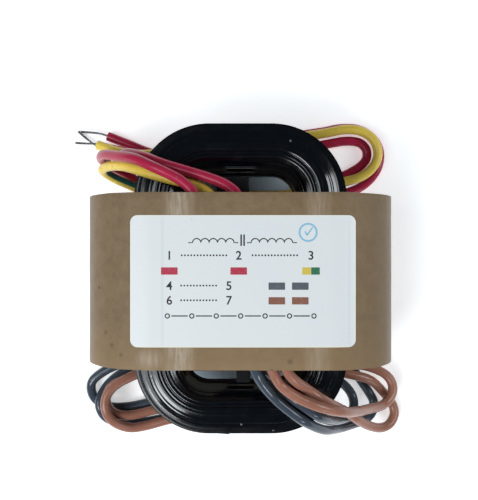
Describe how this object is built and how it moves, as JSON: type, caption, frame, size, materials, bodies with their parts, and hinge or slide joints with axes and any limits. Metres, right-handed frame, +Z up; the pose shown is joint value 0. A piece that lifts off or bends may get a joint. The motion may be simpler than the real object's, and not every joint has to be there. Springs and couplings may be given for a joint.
{
  "type": "r-core transformer",
  "caption": "Mains transformer with round coils on a wound strip core of round section, a kraft board band with a label around the coils, and colour-coded flying leads folded round the yokes.",
  "frame": {"origin": "middle of the band's flat back, on the surface it rests on", "axes": "+X across the two coils, +Y along the coil axes towards the input leads, +Z up from the table to the labelled front"},
  "size_m": [0.0798, 0.0757, 0.0319],
  "materials": {
    "varnished_steel": "black impregnating varnish over wound silicon steel strip, satin with bright lamination edges",
    "bobbin_nylon": "natural ivory moulded plastic",
    "copper": "enamelled copper wire",
    "film": "clear polyester film layers",
    "foil": "bright copper foil",
    "tape": "yellow polyester adhesive tape",
    "cloth_tape": "black cloth adhesive tape, dull",
    "kraft_board": "brown kraft board, matt, fine fibres and specks",
    "label_paper": "white semi-gloss paper label",
    "red_pvc": "red flexible vinyl insulation",
    "yellow_green_pvc": "yellow flexible vinyl insulation with a green stripe",
    "grey_pvc": "dark grey flexible vinyl insulation",
    "brown_pvc": "brown flexible vinyl insulation",
    "tinned_copper": "tinned stranded copper, dull bright"
  },
  "bodies": {
    "root": {"core": "varnished_steel", "input_splice_wrap": "cloth_tape", "output_splice_wrap": "cloth_tape", "board_band": "kraft_board", "label": "label_paper", "screen_lead": "yellow_green_pvc", "bobbin_left_front": "bobbin_nylon", "bobbin_left_rear": "bobbin_nylon", "bobbin_right_front": "bobbin_nylon", "bobbin_right_rear": "bobbin_nylon", "primary_winding_left": "copper", "primary_winding_right": "copper", "primary_film_left": "film", "primary_film_right": "film", "screen_foil_left": "foil", "screen_foil_right": "foil", "screen_film_left": "film", "screen_film_right": "film", "secondary_winding_left": "copper", "secondary_winding_right": "copper", "coil_tape_left": "tape", "coil_tape_right": "tape", "red_lead_a": "red_pvc", "red_lead_b": "red_pvc", "grey_lead_a": "grey_pvc", "grey_lead_b": "grey_pvc", "brown_lead_a": "brown_pvc", "brown_lead_b": "brown_pvc", "red_tail_a": "tinned_copper", "red_tail_b": "tinned_copper", "screen_tail": "tinned_copper", "grey_tail_a": "tinned_copper", "grey_tail_b": "tinned_copper", "brown_tail_a": "tinned_copper", "brown_tail_b": "tinned_copper"}
  },
  "joints": []
}
